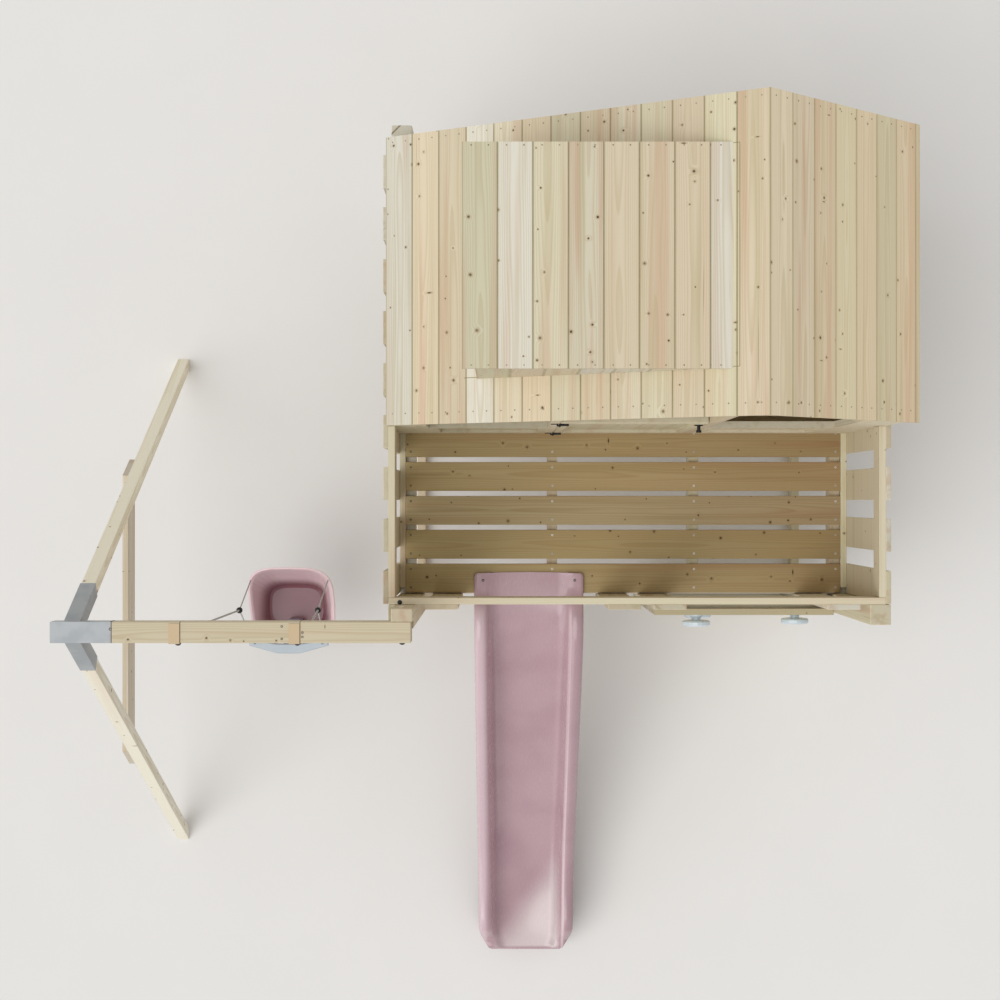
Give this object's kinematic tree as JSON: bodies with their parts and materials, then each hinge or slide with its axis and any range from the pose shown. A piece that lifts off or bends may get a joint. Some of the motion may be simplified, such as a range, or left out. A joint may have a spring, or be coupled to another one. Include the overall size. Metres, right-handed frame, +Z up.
{
  "type": "play tower with swing",
  "caption": "Wooden play tower with a small house under a two-slope roof and dormer, a balcony, a slide, a climbing wall and a toddler swing on an A-frame.",
  "frame": {"origin": "middle of the footprint's bounding box, on the ground", "axes": "+Z up, the slide points to -Y, the swing stands on the -X side"},
  "size_m": [3.4036, 3.852, 2.958],
  "materials": {
    "pine": "planed, untreated",
    "grey_steel": "satin",
    "black_steel": "satin",
    "pink_plastic": "glossy",
    "pale_blue_plastic": "glossy",
    "grey_rope": "matte"
  },
  "bodies": {
    "tower": {"beam_bracket": "grey_steel", "climbing_hold_1": "pale_blue_plastic", "climbing_hold_2": "pale_blue_plastic", "climbing_hold_3": "pale_blue_plastic", "climbing_wall": "pine", "corner_board": "pine", "deck_board_1": "pine", "deck_board_2": "pine", "deck_board_3": "pine", "deck_board_4": "pine", "deck_board_5": "pine", "dormer_roof": "pine", "dormer_walls": "pine", "front_gable": "pine", "front_sill": "pine", "front_slat_1": "pine", "front_slat_2": "pine", "front_slat_3": "pine", "front_slat_4": "pine", "front_wall_left": "pine", "front_wall_right": "pine", "ground_sill_left": "pine", "ground_sill_right": "pine", "hanger_left": "black_steel", "hanger_right": "black_steel", "hinge_post": "pine", "house_floor": "pine", "house_wall_back": "pine", "house_wall_left": "pine", "house_wall_right": "pine", "joist_1": "pine", "joist_2": "pine", "joist_3": "pine", "joist_4": "pine", "latch_post": "pine", "leg_back": "pine", "leg_front": "pine", "leg_spreader": "pine", "post_back_left": "pine", "post_back_right": "pine", "post_front_left": "pine", "post_front_right": "pine", "rail_front": "pine", "railing_left": "pine", "railing_right": "pine", "ridge_beam": "pine", "rim_front": "pine", "rim_left": "pine", "rim_right": "pine", "roof_left": "pine", "roof_right": "pine", "slide": "pink_plastic", "swing_beam": "pine"},
    "swing": {"hook_left": "black_steel", "hook_right": "black_steel", "rope_left": "grey_rope", "rope_right": "grey_rope", "swing_seat": "pink_plastic"},
    "front_bar": {"seat_bar": "pale_blue_plastic"},
    "door": {"door": "pine"}
  },
  "joints": [
    {"name": "swing_hinge", "type": "hinge", "parent": "tower", "child": "swing", "pos_m": [-0.94725, -0.1263, 2.1616], "axis": [1, 0, 0], "range_deg": [-45, 45]},
    {"name": "bar_slide", "type": "slide", "parent": "swing", "child": "front_bar", "axis": [0, 0.4191, 0.908], "range_m": [0, 0.12]},
    {"name": "door_hinge", "type": "hinge", "parent": "tower", "child": "door", "pos_m": [0.30525, 0.6903, 1.6], "axis": [0, 0, -1], "range_deg": [0, 100]}
  ]
}
